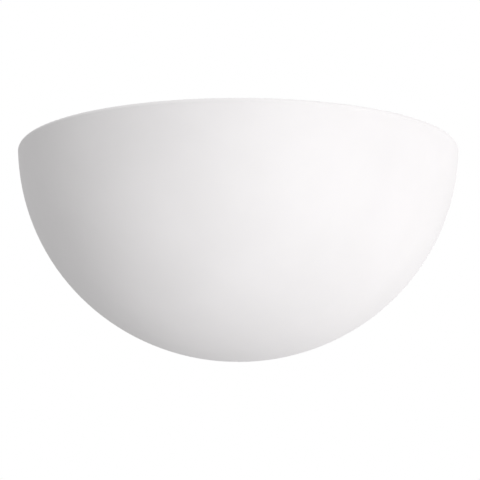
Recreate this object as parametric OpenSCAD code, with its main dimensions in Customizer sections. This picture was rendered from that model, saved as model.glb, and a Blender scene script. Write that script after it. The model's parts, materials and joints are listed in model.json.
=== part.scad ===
// Quarter-sphere uplighter wall sconce: a cast ceramic shade hung on a steel wall
// bracket that carries a porcelain E27 lampholder and a lamp lying along the wall.
// X runs along the wall, Y into the wall, Z up. The origin is on the wall plane,
// midway between the two wall fixings. All sizes are in millimetres.

/* [Shade] */
// Outer radius of the quarter sphere, which is half of the overall width
shade_r = 155; // [154:1:175]
// Depth of the rim below the sphere's centre
rim_drop = 2; // [0:0.5:4]
// Thickness of the cast wall
shade_wall = 7; // [5.5:0.5:8.5]
// Rounding of the lip's outer edge
lip_outer_r = 4; // [2:0.5:4]
// Rounding of the lip's inner edge
lip_inner_r = 2; // [0.5:0.5:2]
// Height of the rim above the line of the wall fixings
rim_z = 48; // [44:1:52]
// Reach of the back flange inside the cast wall
flange_w = 9; // [6:0.5:14]
// Thickness of the back flange and of the hanging lugs
flange_t = 9; // [7:0.5:12]
// Depth of the flange's ends below the rim
flange_drop = 12; // [8:1:20]
// Travel that lifts the shade off its studs
lift = 12; // [11:0.5:14]

/* [Wall bracket] */
// Thickness of the bracket's steel
strip_t = 1.5; // [1.2:0.1:2]
// Height of the bracket strip
strip_w = 26; // [24:1:30]
// Gap between the wall and the raised middle of the bracket
raise = 8; // [7:0.5:10]
// Half width of the raised middle
raised_x = 72; // [70:1:74]
// Run of each joggle between the raised middle and a foot
joggle = 6; // [4:0.5:7]
// Distance between the two wall fixings
fixing_spacing = 180; // [176:1:182]
// Width of the slots for the wall screws
fixing_d = 5; // [4:0.5:6]
// End-to-end length of the slots for the wall screws
fixing_l = 12; // [9:0.5:13]
// Diameter of the hanging studs' shanks
stud_d = 5; // [4:0.5:6]
// Diameter of the hanging studs' heads
stud_head_d = 10; // [9:0.5:11]

/* [Cable entry and terminals] */
// Bore of the cable grommet
cable_d = 8; // [6:0.5:9]
// Outer diameter of the cable grommet
grommet_d = 19; // [17:0.5:20]
// Place of the terminal block's middle pole along the bracket
block_x = 36; // [35:0.5:38]
// Pitch of the terminal block's poles
pole_pitch = 10; // [10:0.5:11]
// Length of the terminal block along the wires
block_l = 18; // [16:1:20]
// Height of the terminal block's screw towers
block_h = 14; // [12:0.5:16]
// Place of the earth screw along the bracket
earth_x = 63; // [62:0.5:64]
// Diameter of the insulated wires
wire_d = 2.4; // [2:0.1:2.6]

/* [Lampholder arm] */
// Place of the lampholder's mounting face along the bracket
arm_x = -62; // [-63:0.5:-60]
// Thickness of the arm's steel
arm_t = 1.5; // [1.2:0.1:2]
// Length of the arm's foot on the bracket
foot_l = 22; // [20:1:24]
// Height of the arm's foot
foot_h = 22; // [20:1:24]
// Distance of the lamp's axis from the wall
lamp_out = 65; // [60:1:68]
// Drop of the lamp's axis below the line of the wall fixings
lamp_drop = 14; // [10:1:18]

/* [Lampholder] */
// Radius of the porcelain
holder_r = 23; // [23:0.25:24]
// Depth of the porcelain base with the terminals
base_l = 15; // [14.5:0.5:17]
// Length of the porcelain skirt round the lamp cap
skirt_l = 28; // [27:0.5:30]
// Distance of the lampholder's two screws from the lamp's axis
holder_fix = 17; // [16.5:0.25:18]
// Pitch of the lamp thread, seven turns to the inch
pitch = 3.629; // [3.629:0.001:3.63]
// Play between the lamp cap and the threaded sleeve
thread_play = 0.3; // [0.25:0.05:0.4]

/* [Lamp] */
// Radius of the lamp's globe
globe_r = 30; // [27:0.5:32]
// Overall length of the lamp from its contact to the end of its globe
lamp_l = 106; // [100:1:110]
// Wall thickness of the lamp's plastic housing and diffuser
lamp_wall = 1.6; // [1.2:0.1:2]

/* [Hidden] */
$fn = 64;

cut = 1;             // how far a cutter runs past the face that it opens
gap = 0.3;           // seat of a piece that is hung or dropped on another
play = 0.2;          // clearance round a screw shank or inside a pocket
close = 0.1;         // close fit of a screw, an insert or a wire in its hole
touch = 0.05;        // joint between two pieces that are held face to face
overlap = 0.01;      // how far two shapes of one piece run into each other
inner_r = shade_r - shade_wall;
flange_r = shade_r - shade_wall / 2;
centre_z = rim_z + rim_drop;             // height of the sphere's centre

// Half width, at a depth below the sphere's centre, of a circle of the given radius
function chord(depth, radius) = sqrt(radius * radius - depth * depth);

// Bracket: its ends stay clear of the cast wall when the shade is lifted
strip_clear = 5.5;
strip_half = floor(chord(centre_z + strip_w / 2 + lift, inner_r) - strip_clear);
strip_corner = 4;
stud_in = 10;                            // distance of a stud from its end of the bracket
stud_x = strip_half - stud_in;
fixing_x = fixing_spacing / 2;
foot_x = raised_x + joggle;
front_y = -(raise + strip_t);            // front face of the raised middle
bend = strip_t * tan(atan2(raise, joggle) / 2);

// Hanging studs
rivet_d = 4;
stud_head_t = 2;
keyhole_play = 0.7;                      // clearance round a stud's head in the keyhole's wide end
keyhole_r = stud_head_d / 2 + keyhole_play;

// Lugs, with the recess in their backs that takes the bracket's ends
lug_in = 12;                             // how far a lug reaches inwards from its stud
lug_over = 2;                            // how far it rises above the bracket
lug_under = 8;                           // how far it reaches below the lifted bracket
lug_sill = 7;                            // height of the solid foot below the recess
lug_corner = 5;
recess_t = strip_t + 0.5;                // the lugs clear the bracket by half a millimetre
recess_side = 1.5;
recess_over = 0.6;
lug_x = stud_x - lug_in;
lug_top = strip_w / 2 + lug_over;
lug_bottom = -(strip_w / 2 + lift + lug_under);

// M4 and M3 fasteners
m4_d = 4;
m4_head_d = 8;
m4_head_t = 2.6;
m4_nut_af = 7;
m4_nut_t = 3.2;
m3_d = 3;
m3_head_d = 5.6;
m3_head_t = 2;
m3_nut_af = 5.5;
m3_nut_t = 2.4;
arm_screw_z = 6.5;
arm_screw_out = 2;                       // the screws stand off the foot's middle, clear of the bend
arm_screw_x = arm_x + foot_l / 2 + arm_screw_out;
screw_tail = 0.8;                        // how far a screw stands out of its nut

// Grommet
grommet_bite = 2.25;                     // how far the grommet's flanges reach over the steel
grommet_groove_d = grommet_d - 2 * grommet_bite;
grommet_lip = 1.8;

// Terminal block
poles = [for (i = [-1:1]) block_x + i * pole_pitch];
block_body_h = 9;
block_web_h = 7;
web_in = 4;                              // how far the web stands back from the block's ends
pole_gap = 0.6;
pole_w = pole_pitch - pole_gap;
insert_r = 2.6;
insert_bore = 1.6;
insert_in = 1.5;                         // depth of the wire's funnel in front of an insert
insert_l = block_l - 2 * insert_in;
insert_up = 5;                           // height of the wires above the bracket
insert_y = front_y - insert_up;
clamp_in = 3;                            // distance of a clamp screw from its end of the insert
clamp_z = insert_l / 2 - clamp_in;
clamp_d = 3;
clamp_clear = 0.7;                       // room round a clamp screw in its tower
clamp_sunk = 1.5;                        // depth of a clamp screw's end below its tower's rim
tower_r = 3.5;
slot_w = 0.7;                            // slots of the small clamp screws
slot_depth = 1.2;

// Lamp axis frame: u runs along +X from the arm's face
lamp_y = -lamp_out;
lamp_z = -lamp_drop;
arm_edge = 4.5;                          // steel round the lampholder's screw holes
arm_end_r = holder_fix + arm_edge;
skirt_u = base_l + touch;
skirt_floor = 4;
skirt_bore = 14.3;
skirt_step = 9;                          // length of the narrower front of the skirt
skirt_taper = 3;
skirt_ledge = 0.5;
skirt_front_r = holder_r - 2.5;
sleeve_u = skirt_u + skirt_floor;
sleeve_l = 22;
sleeve_t = 0.4;
holder_screw_d = 3.5;
holder_head_d = 7;
holder_head_t = 2.4;
holder_screw_l = 22;
screw_end = 2;                           // depth left past the tip of a screw

// Sprung contact: a collar that the skirt's floor keeps in, and a nose that touches the lamp
contact_r = 4.6;
nose_r = 3.2;
nose_tip = 1;                            // chamfer of the nose
nose_out = 0.55;                         // how far the nose stands out when the lamp is home
contact_u = sleeve_u + nose_out;
contact_out = 2.4;                       // how far the nose follows a lamp that is taken out
collar_top = skirt_u - contact_out;
collar_t = 3.6;
contact_back = collar_top - collar_t;
thread_mean = 12.65;                     // mean radius of the lamp cap's thread
thread_e = 0.5;                          // half height of the thread
terminal_y = 14.3;
terminal_up = 10.75;
terminal_size = [6, 8, 7.5];             // across, along the lamp axis, up
link_t = 0.6;
link_w = 3;
clamp_head_d = 4.4;
clamp_head_t = 1.6;
clamp_shank = 1.3;
well_in = 4.1;
well_u = base_l / 2 - well_in;           // floor of the pockets and of the contact's well
terminal_u = well_u + link_t + terminal_size[1] / 2;
spring_seat = well_u + link_t;

// Lamp
lamp_u = contact_u + play;
cap_out = 5.6;                           // how far the lamp's contact stands out of its threaded cap
cap_u = lamp_u + cap_out;
cap_l = 21;
cap_top = cap_u + cap_l;
collar_l = 5.5;
collar_flare = 1.1;
lamp_contact_r = contact_r - play;
lamp_contact_t = 1.6;
lamp_contact_edge = 1;                   // chamfer of the contact's face
insulator_edge = 1.4;                    // insulator left round the contact
globe_u = lamp_u + lamp_l - globe_r;
neck_r = 13.4;
neck_in = 1.5;                           // how deep the cone's narrow end starts in the cap
neck_u = cap_top - neck_in;
// A cone from the neck that is tangent to the globe
cone_d = sqrt(pow(globe_u - neck_u, 2) + neck_r * neck_r);
cone_a = asin(globe_r / cone_d) - atan2(neck_r, globe_u - neck_u);
seam_u = globe_u - globe_r * sin(cone_a);
seam_r = globe_r * cos(cone_a);
housing_u = cap_top;
housing_floor = 3;
board_t = 1.5;
board_u = seam_u - board_t;
board_ledge = 1.2;                       // ledge in the housing that the LED board lies on
board_seat_r = seam_r - lamp_wall - board_ledge;
led_ring_r = 16;
driver_u = housing_u + housing_floor;
driver_end = 4;                          // room between the driver board and the LED board
driver_side = 2;                         // room between the driver board's long edges and the housing
driver_l = board_u - driver_u - driver_end;
driver_w = 2 * (neck_r - lamp_wall - driver_side);
driver_t = 1.2;

// Shapes

module rounded_rect(w, h, r) {
    square([w - 2 * r, h], center = true);
    square([w, h - 2 * r], center = true);
    for (x = [-1, 1], y = [-1, 1])
        translate([x * (w / 2 - r), y * (h / 2 - r)]) circle(r);
}

// Extrudes a shape drawn in X and Z from the plane at y towards the room
module from_wall(y, t) {
    translate([0, y, 0]) rotate([90, 0, 0]) linear_extrude(t) children();
}

// Extrudes a shape drawn in Y and Z along +X
module along_x(x, t) {
    translate([x, 0, 0]) rotate([90, 0, 90]) linear_extrude(t) children();
}

// Cylinder along -Y, from the plane at y
module peg(x, y, z, r, l) {
    translate([x, y, z]) rotate([90, 0, 0]) cylinder(r = r, h = l);
}

// Puts its children on the lamp axis: their Z is the axis, their -X is up
module on_lamp_axis() {
    translate([arm_x, lamp_y, lamp_z]) rotate([0, 90, 0]) children();
}

// Pan head with a cross slot, its seat at z = 0 and its top up the Z axis
module pan_head(d, t, slot = 0.9) {
    difference() {
        intersection() {
            cylinder(r = d / 2, h = t);
            translate([0, 0, t - d * 0.85]) sphere(d * 0.85);
        }
        for (a = [0, 90])
            rotate([0, 0, a]) translate([-d * 0.3, -slot / 2, t * 0.45]) cube([d * 0.6, slot, t]);
    }
}

module nut(af, t, hole_d) {
    difference() {
        cylinder(r = af / sqrt(3), h = t, $fn = 6);
        translate([0, 0, -cut]) cylinder(r = hole_d / 2 + play / 2, h = t + 2 * cut);
    }
}

// Points of a ring of the given radius round c, in the plane of u and v
function ring(c, u, v, r, n) =
    [for (k = [0:n - 1]) c + r * (cos(360 * k / n) * u + sin(360 * k / n) * v)];

function unit(v) = v / norm(v);

// A direction square to each tangent in turn, carried along the path without twisting
function carried(t, first) =
    [for (i = 0, n = unit(first - (first * t[0]) * t[0]);
          i < len(t);
          i = i + 1, n = i < len(t) ? unit(n - (n * t[i]) * t[i]) : n) n];

function tangents(p) =
    [for (i = [0:len(p) - 1]) unit(p[min(i + 1, len(p) - 1)] - p[max(i - 1, 0)])];

// Triangles between rings of n points, closed by a flat end at each side
function skin(rings, n) = concat(
    [[for (k = [0:n - 1]) k]],
    [for (i = [0:rings - 2], k = [0:n - 1]) [i * n + k, (i + 1) * n + k, i * n + (k + 1) % n]],
    [for (i = [0:rings - 2], k = [0:n - 1])
        [i * n + (k + 1) % n, (i + 1) * n + k, (i + 1) * n + (k + 1) % n]],
    [[for (k = [n - 1:-1:0]) (rings - 1) * n + k]]);

// Round tube of radius r along the points p
module tube(p, r, first, n = 10) {
    t = tangents(p);
    u = carried(t, first);
    points = [for (i = [0:len(p) - 1]) each ring(p[i], u[i], cross(t[i], u[i]), r, n)];
    polyhedron(points, skin(len(p), n));
}

// Point at share t of the Bezier curve with the control points c
function bezier(c, t) = len(c) == 1
    ? c[0]
    : bezier([for (i = [0:len(c) - 2]) (1 - t) * c[i] + t * c[i + 1]], t);

function curve(c, steps) = [for (i = [0:steps]) bezier(c, i / steps)];

// Rises from 0 to 1 over the first length a of a span, and falls again over its last length b
function fade(s, span, a, b) = min(1, s / a, (span - s) / b);

// Shade

// Centres of the lip's round edges, which stand out of true tangency by the overlap, so that
// their curves cross cleanly
lip_outer = [chord(rim_drop + lip_outer_r, shade_r - lip_outer_r) + overlap,
             overlap - rim_drop - lip_outer_r];
lip_inner = [chord(rim_drop + lip_inner_r, inner_r + lip_inner_r) - overlap,
             overlap - rim_drop - lip_inner_r];

// Section of the wall right of the Z axis, with the sphere's centre at the origin
module shade_section() {
    intersection() {
        difference() {
            circle(shade_r);
            circle(inner_r);
        }
        translate([0, -rim_drop - 2 * shade_r]) square([2 * shade_r, 2 * shade_r]);
        union() {
            translate([0, lip_outer[1] - 2 * shade_r]) square([2 * shade_r, 2 * shade_r]);
            translate([0, lip_inner[1] - shade_r]) square([lip_inner[0], shade_r]);
            translate([lip_inner[0], -shade_r]) square([lip_outer[0] - lip_inner[0], 2 * shade_r]);
            translate(lip_outer) circle(lip_outer_r);
            translate(lip_inner) circle(lip_inner_r);
        }
    }
}

module flange_outline() {
    intersection() {
        translate([0, centre_z]) difference() {
            circle(flange_r);
            circle(inner_r - flange_w);
        }
        translate([-shade_r, rim_z - flange_drop - 2 * shade_r]) square([2 * shade_r, 2 * shade_r]);
    }
}

module lug_outline() {
    lug_h = lug_top - lug_bottom;
    intersection() {
        translate([0, centre_z]) circle(flange_r);
        for (side = [-1, 1])
            translate([side * (lug_x + shade_r / 2), (lug_top + lug_bottom) / 2])
                rounded_rect(shade_r, lug_h, lug_corner);
    }
}

// Slot that hangs on a stud, with the wide end that passes the stud's head below it
module keyhole_outline() {
    slot_r = stud_d / 2 + gap;
    circle(slot_r);
    translate([-slot_r, -lift]) square([2 * slot_r, lift]);
    translate([0, -lift]) circle(keyhole_r);
}

module shade() {
    recess_bottom = lug_bottom + lug_sill;
    color("whitesmoke")
    difference() {
        union() {
            translate([0, 0, centre_z]) rotate([0, 0, 180]) rotate_extrude(angle = 180) shade_section();
            from_wall(0, flange_t) flange_outline();
            from_wall(0, flange_t) lug_outline();
        }
        from_wall(cut, recess_t + cut)
            translate([-strip_half - recess_side, recess_bottom])
                square([2 * (strip_half + recess_side), strip_w / 2 + recess_over - recess_bottom]);
        for (side = [-1, 1])
            from_wall(cut, flange_t + 2 * cut) translate([side * stud_x, 0]) keyhole_outline();
    }
}

// Wall bracket

module strip_outline() {
    polygon([
        [-strip_half, 0], [-foot_x, 0], [-raised_x, -raise],
        [raised_x, -raise], [foot_x, 0], [strip_half, 0],
        [strip_half, -strip_t], [foot_x + bend, -strip_t], [raised_x + bend, front_y],
        [-raised_x - bend, front_y], [-foot_x - bend, -strip_t], [-strip_half, -strip_t]
    ]);
}

module fixing_slot() {
    run = fixing_l - fixing_d;
    square([run, fixing_d], center = true);
    for (side = [-1, 1]) translate([side * run / 2, 0]) circle(fixing_d / 2);
}

module wall_bracket() {
    depth = raise + strip_t + 2 * cut;
    color("gainsboro")
    difference() {
        intersection() {
            linear_extrude(strip_w, center = true) strip_outline();
            from_wall(cut, depth) rounded_rect(2 * strip_half, strip_w, strip_corner);
        }
        for (side = [-1, 1]) {
            from_wall(cut, depth) translate([side * fixing_x, 0]) fixing_slot();
            peg(side * stud_x, cut, 0, rivet_d / 2 + touch, depth);
            peg(arm_screw_x, cut, side * arm_screw_z, m4_d / 2 + play, depth);
            peg(block_x + side * pole_pitch / 2, cut, 0, m3_d / 2 + play, depth);
        }
        peg(0, cut, 0, grommet_groove_d / 2 + close, depth);
        peg(earth_x, cut, 0, m4_d / 2 + play, depth);
    }
}

module hanging_studs() {
    head_y = -(flange_t + gap);
    color("silver")
    for (side = [-1, 1]) {
        peg(side * stud_x, -play, 0, rivet_d / 2, strip_t);
        peg(side * stud_x, -strip_t, 0, stud_d / 2, flange_t + gap - strip_t + stud_head_t / 4);
        translate([side * stud_x, head_y, 0]) rotate([90, 0, 0])
            intersection() {
                cylinder(r = stud_head_d / 2, h = stud_head_t);
                translate([0, 0, stud_head_t - stud_head_d]) sphere(stud_head_d);
            }
    }
}

module cable_grommet() {
    color("dimgray")
    translate([0, -raise + grommet_lip, 0]) rotate([90, 0, 0])
    difference() {
        union() {
            cylinder(r = grommet_d / 2, h = grommet_lip - touch);
            cylinder(r = grommet_groove_d / 2, h = strip_t + 2 * grommet_lip);
            translate([0, 0, grommet_lip + strip_t + touch])
                cylinder(r = grommet_d / 2, h = grommet_lip - touch);
        }
        translate([0, 0, -cut]) cylinder(r = cable_d / 2, h = strip_t + 2 * grommet_lip + 2 * cut);
    }
}

// Lampholder arm and its fasteners

// Where the line from p touches the circle of radius r about c, on the given side
function tangent_point(p, c, r, side) =
    let (d = norm(c - p), a = atan2(c[1] - p[1], c[0] - p[0]) + side * asin(r / d))
    p + sqrt(d * d - r * r) * [cos(a), sin(a)];

module arm_outline() {
    axis = [lamp_y, lamp_z];
    top = [front_y, foot_h / 2];
    bottom = [front_y, -foot_h / 2];
    polygon([
        top, tangent_point(top, axis, arm_end_r, -1), axis,
        tangent_point(bottom, axis, arm_end_r, 1), bottom
    ]);
    translate(axis) circle(arm_end_r);
}

module lamp_arm() {
    color("gainsboro")
    difference() {
        union() {
            along_x(arm_x - arm_t, arm_t) arm_outline();
            translate([arm_x - arm_t, front_y - arm_t, -foot_h / 2])
                cube([foot_l + arm_t, arm_t, foot_h]);
        }
        for (side = [-1, 1]) {
            peg(arm_screw_x, front_y + cut, side * arm_screw_z, m4_d / 2 + play, arm_t + 2 * cut);
            along_x(arm_x - arm_t - cut, arm_t + 2 * cut)
                translate([lamp_y, lamp_z + side * holder_fix]) circle(holder_screw_d / 2 + play);
        }
    }
}

// Screw from the room side, through a stack of the given thickness and the raised middle, past its nut
module through_screw(x, z, d, head_d, head_t, stack, nut_t) {
    shank = stack + strip_t + nut_t + screw_tail;
    peg(x, front_y - stack + shank, z, d / 2, shank + close);
    translate([x, front_y - stack, z]) rotate([90, 0, 0]) pan_head(head_d, head_t);
}

module arm_screws() {
    color("silver")
    for (side = [-1, 1])
        through_screw(arm_screw_x, side * arm_screw_z, m4_d, m4_head_d, m4_head_t, arm_t, m4_nut_t);
}

module back_nut(x, z, af, t, d) {
    translate([x, -raise + t, z]) rotate([90, 0, 0]) nut(af, t, d);
}

module arm_nuts() {
    color("silver")
    for (side = [-1, 1]) back_nut(arm_screw_x, side * arm_screw_z, m4_nut_af, m4_nut_t, m4_d);
}

// Lampholder

// Centre line of the live link, from the contact's well to the live terminal
module live_route(width, height) {
    reach = norm([terminal_up, terminal_y]);
    rotate([0, 0, 90 + atan2(terminal_up, terminal_y)])
        translate([0, -width / 2, 0]) cube([reach, width, height]);
}

// Place of the neutral link's riser, beside its terminal and under the sleeve's end
riser_y = terminal_y - terminal_size[0] / 2 - link_t - play;
riser_x = sqrt(pow(thread_mean + thread_e + thread_play + sleeve_t / 2, 2) - riser_y * riser_y);

module neutral_riser(clearance, top) {
    translate([-riser_x - link_w / 2 - clearance, -riser_y - link_t - clearance, well_u])
        cube([link_w + 2 * clearance, link_t + 2 * clearance, top - well_u]);
}

module lampholder_base() {
    pocket_y = terminal_y - terminal_size[0] / 2 - gap;
    pocket_up = terminal_up - terminal_size[2] / 2 - play;
    color("ivory")
    on_lamp_axis() difference() {
        cylinder(r = holder_r, h = base_l);
        translate([0, 0, well_u]) cylinder(r = contact_r + gap, h = base_l);
        translate([0, 0, well_u]) live_route(link_w + 2 * play, base_l);
        neutral_riser(play, base_l + cut);
        for (side = [-1, 1]) {
            translate([side * holder_fix, 0, -cut])
                cylinder(r = holder_screw_d / 2 + play, h = base_l + 2 * cut);
            translate([-holder_r - cut, side > 0 ? pocket_y : -pocket_y - holder_r, well_u])
                cube([holder_r + cut - pocket_up, holder_r, base_l]);
        }
    }
}

module lampholder_skirt() {
    color("ivory")
    on_lamp_axis() difference() {
        translate([0, 0, skirt_u]) {
            cylinder(r = holder_r, h = skirt_l - skirt_step);
            translate([0, 0, skirt_l - skirt_step])
                cylinder(r1 = holder_r - skirt_ledge, r2 = skirt_front_r, h = skirt_taper);
            cylinder(r = skirt_front_r, h = skirt_l);
        }
        translate([0, 0, sleeve_u]) cylinder(r = skirt_bore, h = skirt_l);
        translate([0, 0, skirt_u - cut]) cylinder(r = nose_r + gap, h = skirt_floor + 2 * cut);
        neutral_riser(play, sleeve_u + cut);
        for (side = [-1, 1])
            translate([side * holder_fix, 0, skirt_u - cut])
                cylinder(r = holder_screw_d / 2 + close, h = holder_screw_l - base_l + screw_end);
    }
}

// Radius of a right-hand knuckle thread at height u and angle a, from its root to its crest
function thread_r(root, u, a, share) =
    root + share * thread_e * (1 + cos(a - 360 * u / pitch));

thread_sides = 24;
thread_steps = 12;

function thread_ring(u, root, share) =
    [for (k = [0:thread_sides - 1])
        let (a = 360 * k / thread_sides, r = thread_r(root, u, a, share))
        [r * cos(a), r * sin(a), u]];

// Pressed brass sleeve with the thread in both of its faces, plain at its ends
module threaded_sleeve() {
    rings = ceil(sleeve_l / pitch * thread_steps);
    root = thread_mean - thread_e + thread_play;
    n = thread_sides;
    // Outer rings from the floor up, then inner rings from the top down: one closed loop of rings
    walk = [for (i = [0:rings]) [i, sleeve_t], for (i = [rings:-1:0]) [i, 0]];
    points = [for (w = walk)
        let (s = w[0] * sleeve_l / rings, share = fade(s, sleeve_l, pitch / 2, pitch / 2))
        each thread_ring(sleeve_u + s, root + w[1] + 2 * thread_e * (1 - share), share)];
    loops = len(walk);
    color("goldenrod")
    on_lamp_axis() polyhedron(points, [
        for (i = [0:loops - 1], k = [0:n - 1])
            let (j = (i + 1) % loops, m = (k + 1) % n)
            each [[i * n + k, j * n + k, i * n + m], [i * n + m, j * n + k, j * n + m]]
    ]);
}

module lampholder_terminals() {
    color("gold")
    on_lamp_axis() for (side = [-1, 1])
        translate([-terminal_up, side * terminal_y, terminal_u]) difference() {
            cube([terminal_size[2], terminal_size[0], terminal_size[1]], center = true);
            rotate([0, -90, 0]) cylinder(r = wire_d / 2 + gap, h = terminal_size[2]);
            rotate([side * -90, 0, 0]) cylinder(r = clamp_d / 2, h = terminal_size[0]);
        }
}

// Strip from the live terminal to a disc under the contact's spring
module live_link() {
    color("gold")
    on_lamp_axis() translate([0, 0, well_u]) {
        cylinder(r = contact_r, h = link_t);
        live_route(link_w, link_t);
    }
}

// Strip from under the neutral terminal up to the threaded sleeve
module neutral_link() {
    color("gold")
    on_lamp_axis() {
        neutral_riser(0, sleeve_u);
        translate([-riser_x - link_w / 2, -terminal_y, well_u])
            cube([link_w, terminal_y - riser_y, link_t]);
    }
}

module lampholder_clamp_screws() {
    head_y = terminal_y + terminal_size[0] / 2 + play;
    color("silver")
    on_lamp_axis() for (side = [-1, 1])
        translate([-terminal_up, side * head_y, terminal_u]) rotate([side * -90, 0, 0]) {
            translate([0, 0, -clamp_shank]) cylinder(r = clamp_d / 2 - close, h = clamp_shank + close);
            pan_head(clamp_head_d, clamp_head_t, slot_w);
        }
}

module lampholder_fixing_screws() {
    color("silver")
    on_lamp_axis() for (side = [-1, 1])
        translate([side * holder_fix, 0, -arm_t]) {
            cylinder(r = holder_screw_d / 2, h = holder_screw_l + arm_t);
            rotate([180, 0, 0]) pan_head(holder_head_d, holder_head_t);
        }
}

module centre_contact() {
    chamfer_u = contact_u - nose_tip;
    color("gold")
    on_lamp_axis() {
        translate([0, 0, contact_back]) cylinder(r = contact_r, h = collar_t);
        translate([0, 0, contact_back]) cylinder(r = nose_r, h = chamfer_u - contact_back);
        translate([0, 0, chamfer_u]) cylinder(r1 = nose_r, r2 = nose_r - nose_tip, h = nose_tip);
    }
}

// Coil spring that presses the contact against the lamp
module contact_spring() {
    wire_r = 0.35;
    coil_r = contact_r - 1;
    turns = 3;
    steps = 12;
    low = spring_seat + wire_r + touch;
    high = contact_back - wire_r - touch;
    path = [for (i = [0:turns * steps])
        let (a = 360 * i / steps)
        [coil_r * cos(a), coil_r * sin(a), low + (high - low) * i / (turns * steps)]];
    color("silver")
    on_lamp_axis() tube(path, wire_r, [1, 0, 0], 6);
}

// Terminal block

module terminal_block() {
    hole_r = m3_d / 2 + play;
    color("white")
    difference() {
        union() {
            for (x = poles) {
                translate([x - pole_w / 2, front_y - block_body_h, -block_l / 2])
                    cube([pole_w, block_body_h, block_l]);
                for (side = [-1, 1]) peg(x, front_y, side * clamp_z, tower_r, block_h);
            }
            translate([poles[0], front_y - block_web_h, -block_l / 2 + web_in])
                cube([poles[2] - poles[0], block_web_h, block_l - 2 * web_in]);
        }
        for (x = poles) {
            translate([x, insert_y, -insert_l / 2 - play])
                cylinder(r = insert_r + close, h = insert_l + 2 * play);
            translate([x, insert_y, -block_l]) cylinder(r = insert_bore + gap, h = 2 * block_l);
            for (side = [-1, 1]) peg(x, insert_y, side * clamp_z, clamp_d / 2 + clamp_clear, block_h);
        }
        for (side = [-1, 1]) {
            peg(block_x + side * pole_pitch / 2, front_y + cut, 0, hole_r, block_h + 2 * cut);
            peg(block_x + side * pole_pitch / 2, front_y - block_web_h, 0,
                m3_head_d / 2 + play, block_h);
        }
    }
}

module terminal_inserts() {
    color("gold")
    for (x = poles)
        difference() {
            translate([x, insert_y, -insert_l / 2]) cylinder(r = insert_r, h = insert_l);
            translate([x, insert_y, -insert_l]) cylinder(r = insert_bore, h = 2 * insert_l);
            for (side = [-1, 1]) peg(x, insert_y, side * clamp_z, clamp_d / 2, insert_r + cut);
        }
}

// Grub screws in the towers, slotted
module terminal_clamp_screws() {
    start_y = insert_y - wire_d / 2 - 2 * play;
    end_y = front_y - block_h + clamp_sunk;
    color("silver")
    for (x = poles, side = [-1, 1])
        difference() {
            peg(x, start_y, side * clamp_z, clamp_d / 2 - touch, start_y - end_y);
            translate([x - clamp_d, end_y - cut, side * clamp_z - slot_w / 2])
                cube([2 * clamp_d, slot_depth + cut, slot_w]);
        }
}

module terminal_block_screws() {
    color("silver")
    for (side = [-1, 1])
        through_screw(block_x + side * pole_pitch / 2, 0, m3_d, m3_head_d, m3_head_t,
            block_web_h, m3_nut_t);
}

module terminal_block_nuts() {
    color("silver")
    for (side = [-1, 1]) back_nut(block_x + side * pole_pitch / 2, 0, m3_nut_af, m3_nut_t, m3_d);
}

// Earth bond on the bracket

ring_t = 0.8;
ring_r = 4.2;
star_t = 0.6;
star_r = 3.4;
star_tooth = [2, 0.9];
tongue_w = 3.6;                          // strip that joins the ring to its barrel
tongue_l = 2.5;
barrel_r = 2.1;
barrel_l = 7;
barrel_floor = 1;
barrel_z = ring_r + tongue_l;
barrel_y = front_y - star_t - barrel_r - close;

module earth_screw() {
    color("silver")
    through_screw(earth_x, 0, m4_d, m4_head_d, m4_head_t, star_t + ring_t, m4_nut_t);
}

module earth_nut() {
    color("silver") back_nut(earth_x, 0, m4_nut_af, m4_nut_t, m4_d);
}

// Washer with teeth round its rim
module earth_star_washer() {
    teeth = 10;
    color("silver")
    from_wall(front_y, star_t) translate([earth_x, 0]) difference() {
        union() {
            circle(star_r);
            for (i = [0:teeth - 1])
                rotate(360 * i / teeth) translate([star_r - play, 0]) square(star_tooth, center = true);
        }
        circle(m4_d / 2 + play);
    }
}

module earth_ring_terminal() {
    color("silver") {
        from_wall(front_y - star_t, ring_t) difference() {
            union() {
                translate([earth_x, 0]) circle(ring_r);
                translate([earth_x - tongue_w / 2, 0]) square([tongue_w, barrel_z + barrel_floor]);
            }
            translate([earth_x, 0]) circle(m4_d / 2 + play);
        }
        difference() {
            translate([earth_x, barrel_y, barrel_z]) cylinder(r = barrel_r, h = barrel_l);
            translate([earth_x, barrel_y, barrel_z + barrel_floor])
                cylinder(r = wire_d / 2 + close, h = barrel_l);
        }
    }
}

// Wires: each leaves its pole upwards and ends pointing down into its terminal

wire_rise = [28, 37];                    // how high the live and the neutral wire are drawn up
earth_rise = 30;
wire_in = 1.2;                           // how far a wire's insulation enters a pole
wire_up = 1;                             // height of a wire's end above its terminal's middle
wire_bow = 10;                           // how far the wires swing wide on their way to the lampholder
wire_back = 12;                          // how far on the wall's side of its terminal a wire comes down
wire_side = 2;
wire_steps = 40;

function lampholder_wire(pole, side, rise) =
    let (from = [pole, insert_y, block_l / 2 - wire_in],
         to = [arm_x + terminal_u, lamp_y + side * terminal_y, lamp_z + terminal_up + wire_up])
    curve([
        from,
        from + [0, 0, rise],
        [from[0] / 2, from[1], from[2] + rise * 0.7],
        [to[0] / 2 - wire_bow, from[1], from[2] + rise * 0.55],
        [to[0] - wire_side, from[1] - wire_bow, from[2] + rise * 0.5],
        to + [0, wire_back, rise * 0.75],
        to + [0, 0, rise * 0.7],
        to
    ], wire_steps);

module live_wire() {
    color("saddlebrown") tube(lampholder_wire(poles[0], 1, wire_rise[0]), wire_d / 2, [1, 0, 0]);
}

module neutral_wire() {
    color("royalblue") tube(lampholder_wire(poles[1], -1, wire_rise[1]), wire_d / 2, [1, 0, 0]);
}

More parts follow.
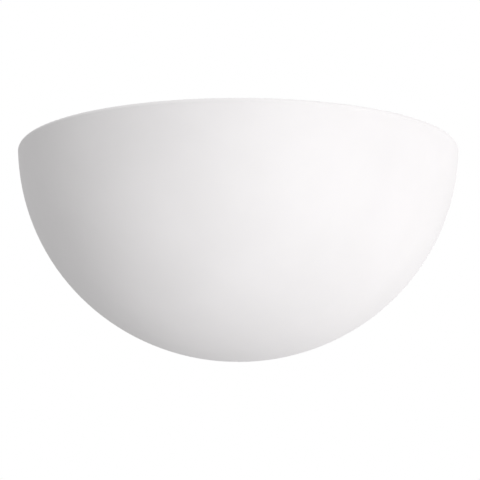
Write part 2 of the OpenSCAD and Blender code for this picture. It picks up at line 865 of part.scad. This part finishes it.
module earth_wire() {
    up = [0, 0, earth_rise];
    from = [poles[2], insert_y, block_l / 2 - wire_in];
    to = [earth_x, barrel_y, barrel_z + 2 * barrel_floor];
    path = curve([from, from + up, to + up, to], wire_steps / 2);
    color("yellowgreen") tube(path, wire_d / 2, [1, 0, 0]);
}

// Lamp

// Threaded metal cap, closed, with a plain collar at its top
module lamp_cap() {
    rings = ceil(cap_l / pitch * thread_steps);
    root = thread_mean - thread_e;
    plain = cap_l - collar_l;
    points = [for (i = [0:rings])
        let (s = i * cap_l / rings,
             share = s < plain ? fade(s, plain, pitch / 2, pitch / 2) : 0,
             flare = s < plain ? 0 : collar_flare * min(1, s - plain))
        each thread_ring(cap_u + s, root + flare, share)];
    color("silver")
    on_lamp_axis() polyhedron(points, skin(rings + 1, thread_sides));
}

module lamp_cap_insulator() {
    color("black")
    on_lamp_axis() translate([0, 0, lamp_u + lamp_contact_t])
        cylinder(r1 = contact_r + insulator_edge, r2 = thread_mean - thread_e - gap,
            h = cap_out - lamp_contact_t);
}

module lamp_cap_contact() {
    half_t = lamp_contact_t / 2;
    color("silver")
    on_lamp_axis() translate([0, 0, lamp_u]) {
        cylinder(r1 = lamp_contact_r - lamp_contact_edge, r2 = lamp_contact_r, h = half_t);
        translate([0, 0, half_t - overlap]) cylinder(r = lamp_contact_r, h = half_t + overlap);
    }
}

module lamp_housing() {
    cone_l = seam_u - housing_u;
    taper = (globe_r * cos(cone_a) - neck_r) / (seam_u - neck_u);
    low_r = neck_r + taper * (housing_u - neck_u);
    color("white")
    on_lamp_axis() difference() {
        translate([0, 0, housing_u]) cylinder(r1 = low_r, r2 = seam_r, h = cone_l);
        translate([0, 0, driver_u])
            cylinder(r1 = neck_r - lamp_wall, r2 = board_seat_r - board_ledge,
                h = board_u - driver_u + touch);
        translate([0, 0, board_u]) cylinder(r = board_seat_r, h = cone_l);
    }
}

module lamp_diffuser() {
    below = globe_u - seam_u - touch;
    color("white", 0.8)
    on_lamp_axis() translate([0, 0, globe_u]) difference() {
        sphere(globe_r);
        sphere(globe_r - lamp_wall);
        translate([0, 0, -below - 2 * globe_r]) cylinder(r = 2 * globe_r, h = 2 * globe_r);
    }
}

module lamp_led_board() {
    color("lightgray")
    on_lamp_axis() translate([0, 0, board_u]) cylinder(r = board_seat_r - play, h = board_t);
}

module lamp_leds() {
    count = 10;
    size = 2.8;
    height = 0.8;
    color("khaki")
    on_lamp_axis() for (i = [0:count - 1])
        rotate([0, 0, 360 * i / count])
            translate([led_ring_r - size / 2, -size / 2, board_u + board_t]) cube([size, size, height]);
}

module lamp_driver_board() {
    color("seagreen")
    on_lamp_axis() translate([-driver_w / 2, 0, driver_u]) cube([driver_w, driver_t, driver_l]);
}

// Capacitor, choke and rectifier on the driver board
module lamp_driver_parts() {
    capacitor_r = 3.6;
    capacitor_l = 10;
    choke_r = 3;
    choke_h = 5;
    rectifier = [4, 2, 5];
    side_x = driver_w / 4;               // middle of each half of the board
    color("dimgray")
    on_lamp_axis() translate([0, 0, driver_u]) {
        translate([-side_x, -capacitor_r, 5]) cylinder(r = capacitor_r, h = capacitor_l);
        translate([side_x - 0.5, 0, 10]) rotate([90, 0, 0]) cylinder(r = choke_r, h = choke_h);
        translate([side_x - 0.5 - rectifier[0] / 2, driver_t, 4]) cube(rectifier);
    }
}

shade();
wall_bracket();
hanging_studs();
cable_grommet();
lamp_arm();
arm_screws();
arm_nuts();
lampholder_base();
lampholder_skirt();
threaded_sleeve();
lampholder_terminals();
live_link();
neutral_link();
lampholder_clamp_screws();
lampholder_fixing_screws();
centre_contact();
contact_spring();
terminal_block();
terminal_inserts();
terminal_clamp_screws();
terminal_block_screws();
terminal_block_nuts();
earth_screw();
earth_nut();
earth_star_washer();
earth_ring_terminal();
live_wire();
neutral_wire();
earth_wire();
lamp_cap();
lamp_cap_insulator();
lamp_cap_contact();
lamp_housing();
lamp_diffuser();
lamp_led_board();
lamp_leds();
lamp_driver_board();
lamp_driver_parts();
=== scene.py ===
"""Looks of a quarter-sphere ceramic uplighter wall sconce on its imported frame, in metres."""

import json
import math

import bmesh
import bpy
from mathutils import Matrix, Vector


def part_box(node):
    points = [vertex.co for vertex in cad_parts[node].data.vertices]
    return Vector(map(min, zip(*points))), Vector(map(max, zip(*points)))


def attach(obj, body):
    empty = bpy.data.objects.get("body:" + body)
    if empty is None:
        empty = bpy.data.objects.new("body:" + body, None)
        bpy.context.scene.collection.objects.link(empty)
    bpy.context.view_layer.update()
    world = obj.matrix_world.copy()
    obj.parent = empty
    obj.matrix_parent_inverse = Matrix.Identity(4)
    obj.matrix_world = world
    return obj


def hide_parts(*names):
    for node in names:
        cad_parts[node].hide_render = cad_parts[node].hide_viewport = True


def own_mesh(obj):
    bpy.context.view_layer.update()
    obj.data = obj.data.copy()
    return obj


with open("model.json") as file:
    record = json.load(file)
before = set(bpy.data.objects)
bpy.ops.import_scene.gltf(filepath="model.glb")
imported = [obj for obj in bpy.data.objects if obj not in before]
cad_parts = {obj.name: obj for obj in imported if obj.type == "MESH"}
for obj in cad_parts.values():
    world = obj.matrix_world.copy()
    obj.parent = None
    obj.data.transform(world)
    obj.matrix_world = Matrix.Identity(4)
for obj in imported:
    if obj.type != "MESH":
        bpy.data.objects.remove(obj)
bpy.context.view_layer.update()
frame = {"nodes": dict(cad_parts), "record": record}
nodes = frame["nodes"]

MM = 0.001
MICRON = 0.000001
WHITE = (1, 1, 1, 1)

SHADE_R = 0.155  # outer radius of the quarter sphere
SPHERE_CENTRE = Vector((0, 0, 0.050))

# Camera: a long lens far off, a little below the shade
CAMERA_DISTANCE = 20 * SHADE_R
CAMERA_BELOW = math.radians(12.822)
CAMERA_PITCH = math.radians(11.587)
CAMERA_YAW = math.radians(0.0241)
LENS_MM = 329.99
SENSOR_MM = 36
CLIP_END = 50

# Light: an even surround and four soft lamps on the right. The key is in front, the low lamp below,
# the side lamp behind the plane of the wall, and the top lamp nearly overhead.
SURROUND = 0.546
LAMP_DISTANCE = 2.0
LAMP_SIZE = 0.8
LAMP_COLOUR = (0.996, 0.990, 0.993)
LAMPS = [  # name, watts, azimuth and elevation in degrees
    ("key", 15.0, 25, -10),
    ("low", 6.7, 60, -45),
    ("side", 9.7, 130, -10),
    ("top", 13.0, 90, 75),
]

# Floor: pale, and below any camera that looks up at the light
FLOOR_Z = -3.4
FLOOR_SIZE = 30.0
FLOOR_COLOUR = (0.8, 0.8, 0.8, 1)


# Materials

NOISE_ROUGHNESS = 0.55
NOISE_SPAN = (0.3, 0.7)  # most of a noise lies between these
MOTTLE_SPAN = (0.35, 0.65)  # where a mottled colour reaches its darker and its lighter shade
BEVEL_SAMPLES = 6
BOARD_PATTERN_SCALE = 300


class Shader:
    """A Principled material with helpers that drive its sockets from object-space noise."""

    def __init__(self, name, **sockets):
        self.material = bpy.data.materials.new(name)
        self.material.use_nodes = True
        self.tree = self.material.node_tree
        self.bsdf = self.tree.nodes["Principled BSDF"]
        self.place = self.node("ShaderNodeTexCoord").outputs["Object"]
        for socket, value in sockets.items():
            self.bsdf.inputs[socket.replace("_", " ")].default_value = value

    def node(self, kind, **settings):
        made = self.tree.nodes.new(kind)
        for key, value in settings.items():
            setattr(made, key, value)
        return made

    def link(self, out, into):
        self.tree.links.new(out, into)

    def stretched(self, stretch):
        """Object coordinates scaled along each axis, so that a pattern becomes streaks."""
        mapping = self.node("ShaderNodeMapping")
        mapping.inputs["Scale"].default_value = stretch
        self.link(self.place, mapping.inputs["Vector"])
        return mapping.outputs["Vector"]

    def noise(self, size, detail=3.0, stretch=None):
        """Noise whose blotches are about size metres across."""
        made = self.node("ShaderNodeTexNoise")
        made.inputs["Scale"].default_value = 1 / size
        made.inputs["Detail"].default_value = detail
        made.inputs["Roughness"].default_value = NOISE_ROUGHNESS
        self.link(self.stretched(stretch) if stretch else self.place, made.inputs["Vector"])
        return made.outputs["Fac"]

    def specks(self, spacing, reach):
        """Scattered round specks, 0 in the middle of a speck and 1 past its reach."""
        made = self.node("ShaderNodeTexVoronoi")
        made.inputs["Scale"].default_value = 1 / spacing
        self.link(self.place, made.inputs["Vector"])
        return self.levels(made.outputs["Distance"], (0.0, reach), (0.0, 1.0))

    def levels(self, value, old, new):
        """The value with its old span stretched to the new one."""
        made = self.node("ShaderNodeMapRange")
        made.inputs["From Min"].default_value, made.inputs["From Max"].default_value = old
        made.inputs["To Min"].default_value, made.inputs["To Max"].default_value = new
        self.link(value, made.inputs["Value"])
        return made.outputs["Result"]

    def base(self, value, places, colours):
        """Base colour that reaches each colour where the value reaches its place."""
        ramp = self.node("ShaderNodeValToRGB")
        elements = ramp.color_ramp.elements
        while len(elements) < len(places):
            elements.new(0.5)  # the loop below gives it its place
        for element, at, colour in zip(elements, places, colours):
            element.position = at
            element.color = (*colour, 1)
        self.link(value, ramp.inputs["Fac"])
        self.link(ramp.outputs["Color"], self.bsdf.inputs["Base Color"])

    def mottled(self, size, colour, spread, detail=3.0):
        """Base colour that clouds by a share to a darker and a lighter shade."""
        darker = tuple(c * (1 - spread) for c in colour)
        lighter = tuple(min(1, c * (1 + spread)) for c in colour)
        self.base(self.noise(size, detail), MOTTLE_SPAN, (darker, lighter))

    def rough(self, value, low, high):
        """Roughness from low to high, for a value that is a noise."""
        self.link(self.levels(value, NOISE_SPAN, (low, high)), self.bsdf.inputs["Roughness"])

    def bump(self, heights, edge):
        """Stacks (value, depth in metres) pairs on a normal that rounds edges to the given radius."""
        soft = self.node("ShaderNodeBevel", samples=BEVEL_SAMPLES)
        soft.inputs["Radius"].default_value = edge
        normal = soft.outputs["Normal"]
        for value, depth in heights:
            made = self.node("ShaderNodeBump")
            made.inputs["Distance"].default_value = depth
            made.inputs["Strength"].default_value = 1.0
            self.link(value, made.inputs["Height"])
            self.link(normal, made.inputs["Normal"])
            normal = made.outputs["Normal"]
        self.link(normal, self.bsdf.inputs["Normal"])


def ceramic():
    """Bisque-fired white body: dead matt, finely grained and faintly clouded."""
    s = Shader("ceramic", Specular_IOR_Level=0.1)
    s.mottled(60 * MM, (0.912, 0.896, 0.900), 0.012, detail=4)
    s.rough(s.noise(12 * MM), 0.88, 0.98)
    grain = s.noise(1.1 * MM, detail=2)
    waves = s.noise(20 * MM, detail=1)
    s.bump([(grain, 20 * MICRON), (waves, 60 * MICRON)], 1.2 * MM)
    return s.material


def porcelain():
    """Clear-glazed electrical porcelain with a slightly wavy glaze and specks under it."""
    s = Shader("porcelain", Roughness=0.3, Coat_Weight=1.0, Coat_Roughness=0.06)
    speck, white = (0.60, 0.56, 0.50), (0.86, 0.845, 0.80)
    s.base(s.specks(3.5 * MM, reach=0.08), (0.0, 0.6), (speck, white))
    s.bump([(s.noise(4 * MM, detail=1), 30 * MICRON)], 0.6 * MM)
    return s.material


def zinc_plate():
    """Bright zinc plating on rolled steel: fine rolling lines, cloudy passivation."""
    s = Shader("zinc_plated_steel", Metallic=1.0)
    blue, plain, yellow = (0.60, 0.62, 0.65), (0.72, 0.73, 0.74), (0.74, 0.735, 0.70)
    s.base(s.noise(18 * MM, detail=5), (0.3, 0.5, 0.7), (blue, plain, yellow))
    s.rough(s.noise(6 * MM, detail=5, stretch=(0.15, 1, 3)), 0.24, 0.42)
    lines = s.noise(1.2 * MM, detail=3, stretch=(0.06, 1, 3))
    s.bump([(lines, 12 * MICRON)], 0.25 * MM)
    return s.material


def bright_steel():
    """Nickel-bright machine screws, nuts and springs."""
    s = Shader("bright_steel", Metallic=1.0)
    s.mottled(3 * MM, (0.66, 0.655, 0.64), 0.08)
    s.rough(s.noise(1.5 * MM, detail=4), 0.18, 0.34)
    s.bump([(s.noise(0.6 * MM), 6 * MICRON)], 0.15 * MM)
    return s.material


def nickel_plate():
    """Pressed and plated lamp cap, dulled a little by handling."""
    s = Shader("nickel_plate", Metallic=1.0)
    s.mottled(5 * MM, (0.74, 0.72, 0.68), 0.07, detail=4)
    s.rough(s.noise(4 * MM, detail=5), 0.16, 0.36)
    s.bump([(s.noise(0.8 * MM), 6 * MICRON)], 0.2 * MM)
    return s.material


def brass():
    """Turned and pressed brass with patches of tarnish."""
    s = Shader("brass", Metallic=1.0)
    tarnished, plain, bright = (0.60, 0.40, 0.16), (0.83, 0.62, 0.29), (0.88, 0.70, 0.38)
    s.base(s.noise(4 * MM, detail=5), (0.3, 0.55, 0.8), (tarnished, plain, bright))
    s.rough(s.noise(2 * MM, detail=4), 0.2, 0.42)
    s.bump([(s.noise(0.6 * MM), 8 * MICRON)], 0.15 * MM)
    return s.material


def tinned_copper():
    """Tin over copper, with the copper showing through where it was crimped."""
    s = Shader("tinned_copper", Metallic=1.0)
    copper, tin = (0.72, 0.55, 0.44), (0.74, 0.73, 0.71)
    s.base(s.noise(2 * MM, detail=4), (0.32, 0.45), (copper, tin))
    s.rough(s.noise(1 * MM, detail=4), 0.28, 0.46)
    s.bump([(s.noise(0.7 * MM), 10 * MICRON)], 0.15 * MM)
    return s.material


def moulded(name, colour, rough=(0.38, 0.52), depth=12 * MICRON, clouding=0.04, **sockets):
    """Moulded plastic or rubber with a fine die texture and faint flow clouding."""
    s = Shader(name, **sockets)
    s.mottled(10 * MM, colour, clouding)
    s.rough(s.noise(3 * MM), *rough)
    s.bump([(s.noise(0.9 * MM, detail=2), depth)], 0.25 * MM)
    return s.material


def striped_sleeve():
    """Green insulation with a yellow stripe along its outer side."""
    s = Shader("green_yellow_sleeve", Roughness=0.42, Specular_IOR_Level=0.45)
    split = s.node("ShaderNodeSeparateXYZ")
    s.link(s.place, split.inputs["Vector"])
    low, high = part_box("earth_wire")
    middle = (low.y + high.y) / 2
    blur = 0.2 * MM
    side = s.levels(split.outputs["Y"], (middle - blur, middle + blur), (0, 1))
    yellow, green = (0.78, 0.66, 0.03), (0.04, 0.33, 0.07)
    s.base(side, (0.45, 0.55), (yellow, green))
    s.bump([(s.noise(1.5 * MM), 10 * MICRON)], 0.15 * MM)
    return s.material


def opal():
    """Frosted opal diffuser that light soaks into."""
    s = Shader("opal_plastic", Roughness=0.42, Subsurface_Weight=0.35, Subsurface_Scale=4 * MM,
               Subsurface_Radius=(1, 1, 1), IOR=1.49)
    s.mottled(20 * MM, (0.92, 0.915, 0.89), 0.01)
    s.bump([(s.noise(0.6 * MM, detail=2), 8 * MICRON)], 0.25 * MM)
    return s.material


def circuit_board():
    """Green solder mask with the copper tracks showing faintly under it."""
    s = Shader("board_green", Roughness=0.35, Coat_Weight=0.4, Coat_Roughness=0.15)
    bricks = s.node("ShaderNodeTexBrick")
    bricks.inputs["Scale"].default_value = BOARD_PATTERN_SCALE
    s.link(s.place, bricks.inputs["Vector"])
    tracks = bricks.outputs["Fac"]
    mask, copper = (0.02, 0.20, 0.09), (0.06, 0.30, 0.14)
    s.base(tracks, (0.2, 0.8), (mask, copper))
    s.bump([(tracks, 20 * MICRON)], 0.1 * MM)
    return s.material


MATERIALS = {
    "ceramic": ceramic(),
    "porcelain": porcelain(),
    "zinc_plated_steel": zinc_plate(),
    "bright_steel": bright_steel(),
    "nickel_plate": nickel_plate(),
    "brass": brass(),
    "tinned_copper": tinned_copper(),
    "green_yellow_sleeve": striped_sleeve(),
    "opal_plastic": opal(),
    "board_green": circuit_board(),
    "board_aluminium": moulded("board_aluminium", (0.80, 0.80, 0.79), rough=(0.35, 0.5)),
    "black_rubber": moulded("black_rubber", (0.035, 0.035, 0.037), rough=(0.62, 0.8), depth=30 * MICRON),
    "white_nylon": moulded("white_nylon", (0.83, 0.82, 0.78), rough=(0.4, 0.55), clouding=0.02,
                           Subsurface_Weight=0.15, Subsurface_Scale=2 * MM,
                           Subsurface_Radius=(1, 1, 1)),
    "brown_sleeve": moulded("brown_sleeve", (0.15, 0.06, 0.03)),
    "blue_sleeve": moulded("blue_sleeve", (0.03, 0.14, 0.50)),
    "black_plastic": moulded("black_plastic", (0.02, 0.02, 0.021), rough=(0.16, 0.3)),
    "white_plastic": moulded("white_plastic", (0.86, 0.86, 0.85), clouding=0.012),
    "led_phosphor": moulded("led_phosphor", (0.83, 0.66, 0.12), rough=(0.3, 0.4)),
}
slot_of = {s["node"]: s["material_slot"] for s in frame["record"]["subparts"]}


def dress(name):
    """Gives a node of the frame the material of its slot."""
    mesh = nodes[name].data
    mesh.materials.clear()
    mesh.materials.append(MATERIALS[slot_of[name]])


for name in nodes:
    dress(name)


# Round pieces with facets in CAD: the two threads and the wires

CREASE = math.radians(50)
WELD_DISTANCE = 0.001 * MM


def smooth_shading(sharp):
    """Geometry nodes that shade a mesh smooth, but for edges that turn by more than an angle."""
    group = bpy.data.node_groups.new("smooth_shading", "GeometryNodeTree")
    for way in ("INPUT", "OUTPUT"):
        group.interface.new_socket("Geometry", in_out=way, socket_type="NodeSocketGeometry")
    shape, out = group.nodes.new("NodeGroupInput"), group.nodes.new("NodeGroupOutput")
    faces = group.nodes.new("GeometryNodeSetShadeSmooth")
    edges = group.nodes.new("GeometryNodeSetShadeSmooth")
    edges.domain = "EDGE"
    edges.inputs["Shade Smooth"].default_value = False
    is_sharp = group.nodes.new("FunctionNodeCompare")
    is_sharp.inputs["B"].default_value = sharp
    turn = group.nodes.new("GeometryNodeInputMeshEdgeAngle")
    group.links.new(turn.outputs["Unsigned Angle"], is_sharp.inputs["A"])
    group.links.new(is_sharp.outputs["Result"], edges.inputs["Selection"])
    group.links.new(shape.outputs["Geometry"], faces.inputs["Geometry"])
    group.links.new(faces.outputs["Geometry"], edges.inputs["Geometry"])
    group.links.new(edges.outputs["Geometry"], out.inputs["Geometry"])
    return group


def smooth(name, shading):
    """Joins a node's faces at their shared edges and shades its round faces smooth."""
    piece = nodes[name]
    normals = piece.data.attributes.get("custom_normal")  # flat ones, from the import
    if normals:
        piece.data.attributes.remove(normals)
    weld = piece.modifiers.new("weld", "WELD")
    weld.merge_threshold = WELD_DISTANCE
    piece.modifiers.new("shading", "NODES").node_group = shading


shading = smooth_shading(CREASE)
for name in ("threaded_sleeve", "lamp_cap", "live_wire", "neutral_wire", "earth_wire"):
    smooth(name, shading)


# The contact's spring, a coiled wire in place of the frame's

SPRING_WIRE_R = 0.35 * MM
SPRING_TURNS = 3
SPRING_STEPS = 36  # points along a turn
SPRING_SIDES = 12
SPRING_CLOSING = 0.45  # how much closer the end turns lie, from 0, even, to 1


def coil(low, high):
    """Points along the wire of a spring that fills the box from low to high, along X."""
    middle = (low + high) / 2
    reach = (high.y - low.y) / 2 - SPRING_WIRE_R
    start, end = low.x + SPRING_WIRE_R, high.x - SPRING_WIRE_R
    count = SPRING_TURNS * SPRING_STEPS
    for i in range(count + 1):
        share = i / count
        eased = share * share * (3 - 2 * share)
        along = share + (eased - share) * SPRING_CLOSING
        turn = math.tau * i / SPRING_STEPS
        yield Vector((start + (end - start) * along,
                      middle.y + reach * math.sin(turn),
                      middle.z - reach * math.cos(turn)))


def tube(name, path, radius, sides):
    """A closed round tube along a path that never runs along X."""
    shape = bmesh.new()
    turns = [math.tau * k / sides for k in range(sides)]
    rings = []
    for i, at in enumerate(path):
        way = (path[min(i + 1, len(path) - 1)] - path[max(i - 1, 0)]).normalized()
        out = (Vector((1, 0, 0)) - way * way.x).normalized()
        across = way.cross(out)
        around = [at + radius * (out * math.cos(t) + across * math.sin(t)) for t in turns]
        rings.append([shape.verts.new(point) for point in around])
    for near, far in zip(rings, rings[1:]):
        for k in range(sides):
            side = shape.faces.new((near[k], near[k - 1], far[k - 1], far[k]))
            side.smooth = True
    shape.faces.new(rings[0])
    shape.faces.new(reversed(rings[-1]))
    bmesh.ops.recalc_face_normals(shape, faces=shape.faces)
    mesh = bpy.data.meshes.new(name)
    shape.to_mesh(mesh)
    shape.free()
    made = bpy.data.objects.new(name, mesh)
    bpy.context.scene.collection.objects.link(made)
    return made


def make_spring():
    """The spring that stands for the frame's, from its fixed end, at low, to the contact."""
    low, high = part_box("contact_spring")
    spring = tube("contact_spring_coil", list(coil(low, high)), SPRING_WIRE_R, SPRING_SIDES)
    spring.data.materials.append(MATERIALS[slot_of["contact_spring"]])
    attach(spring, "fixture")
    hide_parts("contact_spring")
    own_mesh(spring)


make_spring()


# Stage, camera and light


def direction(azimuth, elevation):
    """Unit vector from the sconce. Azimuth 0 is straight out of the wall, and positive to the right."""
    return Vector((math.sin(azimuth) * math.cos(elevation),
                   -math.cos(azimuth) * math.cos(elevation),
                   math.sin(elevation)))


def is_seen(tree):
    """1 for rays from the camera and those that see the surround in gloss or through glass, else 0."""
    path = tree.nodes.new("ShaderNodeLightPath")
    seen = path.outputs["Is Camera Ray"]
    for ray in ("Is Glossy Ray", "Is Transmission Ray"):
        both = tree.nodes.new("ShaderNodeMath")
        both.operation = "MAXIMUM"
        tree.links.new(seen, both.inputs[0])
        tree.links.new(path.outputs[ray], both.inputs[1])
        seen = both.outputs["Value"]
    return seen


def make_world():
    """An even surround that is white where it is seen directly."""
    world = bpy.data.worlds.new("surround")
    world.use_nodes = True
    tree = world.node_tree
    tree.nodes.clear()
    even = tree.nodes.new("ShaderNodeBackground")
    even.inputs["Color"].default_value = WHITE
    even.inputs["Strength"].default_value = SURROUND
    white = tree.nodes.new("ShaderNodeBackground")
    white.inputs["Color"].default_value = WHITE
    mix = tree.nodes.new("ShaderNodeMixShader")
    tree.links.new(is_seen(tree), mix.inputs["Fac"])
    tree.links.new(even.outputs[0], mix.inputs[1])
    tree.links.new(white.outputs[0], mix.inputs[2])
    out = tree.nodes.new("ShaderNodeOutputWorld")
    tree.links.new(mix.outputs[0], out.inputs["Surface"])
    bpy.context.scene.world = world


def make_floor():
    """Pale floor far below the light, white where it is seen directly."""
    mesh = bpy.data.meshes.new("floor")
    half = FLOOR_SIZE / 2
    corners = [(-half, -half, 0), (half, -half, 0), (half, half, 0), (-half, half, 0)]
    mesh.from_pydata(corners, [], [(0, 1, 2, 3)])
    floor = bpy.data.objects.new("floor", mesh)
    floor.location.z = FLOOR_Z
    bpy.context.scene.collection.objects.link(floor)
    s = Shader("floor", Roughness=0.9, Base_Color=FLOOR_COLOUR)
    glow = s.node("ShaderNodeEmission")
    mix = s.node("ShaderNodeMixShader")
    s.link(is_seen(s.tree), mix.inputs["Fac"])
    s.link(s.bsdf.outputs[0], mix.inputs[1])
    s.link(glow.outputs[0], mix.inputs[2])
    s.link(mix.outputs[0], s.tree.nodes["Material Output"].inputs["Surface"])
    mesh.materials.append(s.material)


def make_lamp(name, power, azimuth, elevation):
    """A round soft lamp that faces the shade and isn't seen itself."""
    light = bpy.data.lights.new(name, "AREA")
    light.shape = "DISK"
    light.size = LAMP_SIZE
    light.energy = power
    light.color = LAMP_COLOUR
    lamp = bpy.data.objects.new(name, light)
    way = direction(math.radians(azimuth), math.radians(elevation))
    lamp.location = SPHERE_CENTRE + way * LAMP_DISTANCE
    lamp.rotation_euler = way.to_track_quat("Z", "Y").to_euler()
    lamp.visible_camera = False
    lamp.visible_glossy = azimuth <= 90  # one behind the wall would only glare in the bracket
    bpy.context.scene.collection.objects.link(lamp)


def make_camera():
    """The photograph's camera."""
    data = bpy.data.cameras.new("camera")
    data.lens = LENS_MM
    data.sensor_width = SENSOR_MM
    data.clip_end = CLIP_END
    camera = bpy.data.objects.new("camera", data)
    camera.location = SPHERE_CENTRE + direction(0, -CAMERA_BELOW) * CAMERA_DISTANCE
    camera.rotation_euler = (math.pi / 2 + CAMERA_PITCH, 0, -CAMERA_YAW)
    bpy.context.scene.collection.objects.link(camera)
    bpy.context.scene.camera = camera


make_world()
make_floor()
for lamp in LAMPS:
    make_lamp(*lamp)
make_camera()
bpy.context.scene.view_settings.view_transform = "Standard"
